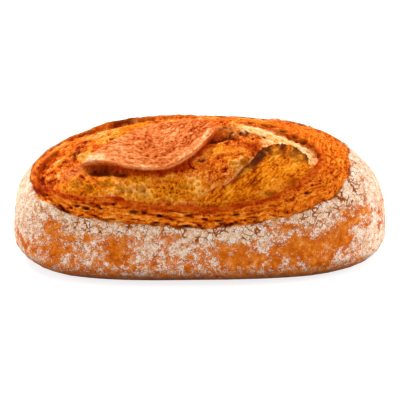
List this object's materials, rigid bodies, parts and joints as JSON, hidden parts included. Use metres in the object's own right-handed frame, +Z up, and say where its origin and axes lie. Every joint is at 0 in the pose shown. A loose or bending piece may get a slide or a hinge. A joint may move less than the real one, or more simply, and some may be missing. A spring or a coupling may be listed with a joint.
{
  "type": "sourdough loaf",
  "caption": "Long oval hearth-baked loaf with a burst, torn top, a folded flap of crust and floured sides, standing on its flat base.",
  "frame": {"origin": "middle of the loaf's flat base, on the surface it stands on", "axes": "+Z up; +X along the loaf's length, with the long folded flap towards -X; -Y is the side whose torn edge reaches lowest"},
  "size_m": [0.3, 0.157, 0.1084],
  "materials": {
    "baked_crust": "dry baked crust: floured and cracked round the sides, open golden crumb and toasted orange crust where the top has torn"
  },
  "bodies": {
    "root": {"loaf": "baked_crust"}
  },
  "joints": []
}
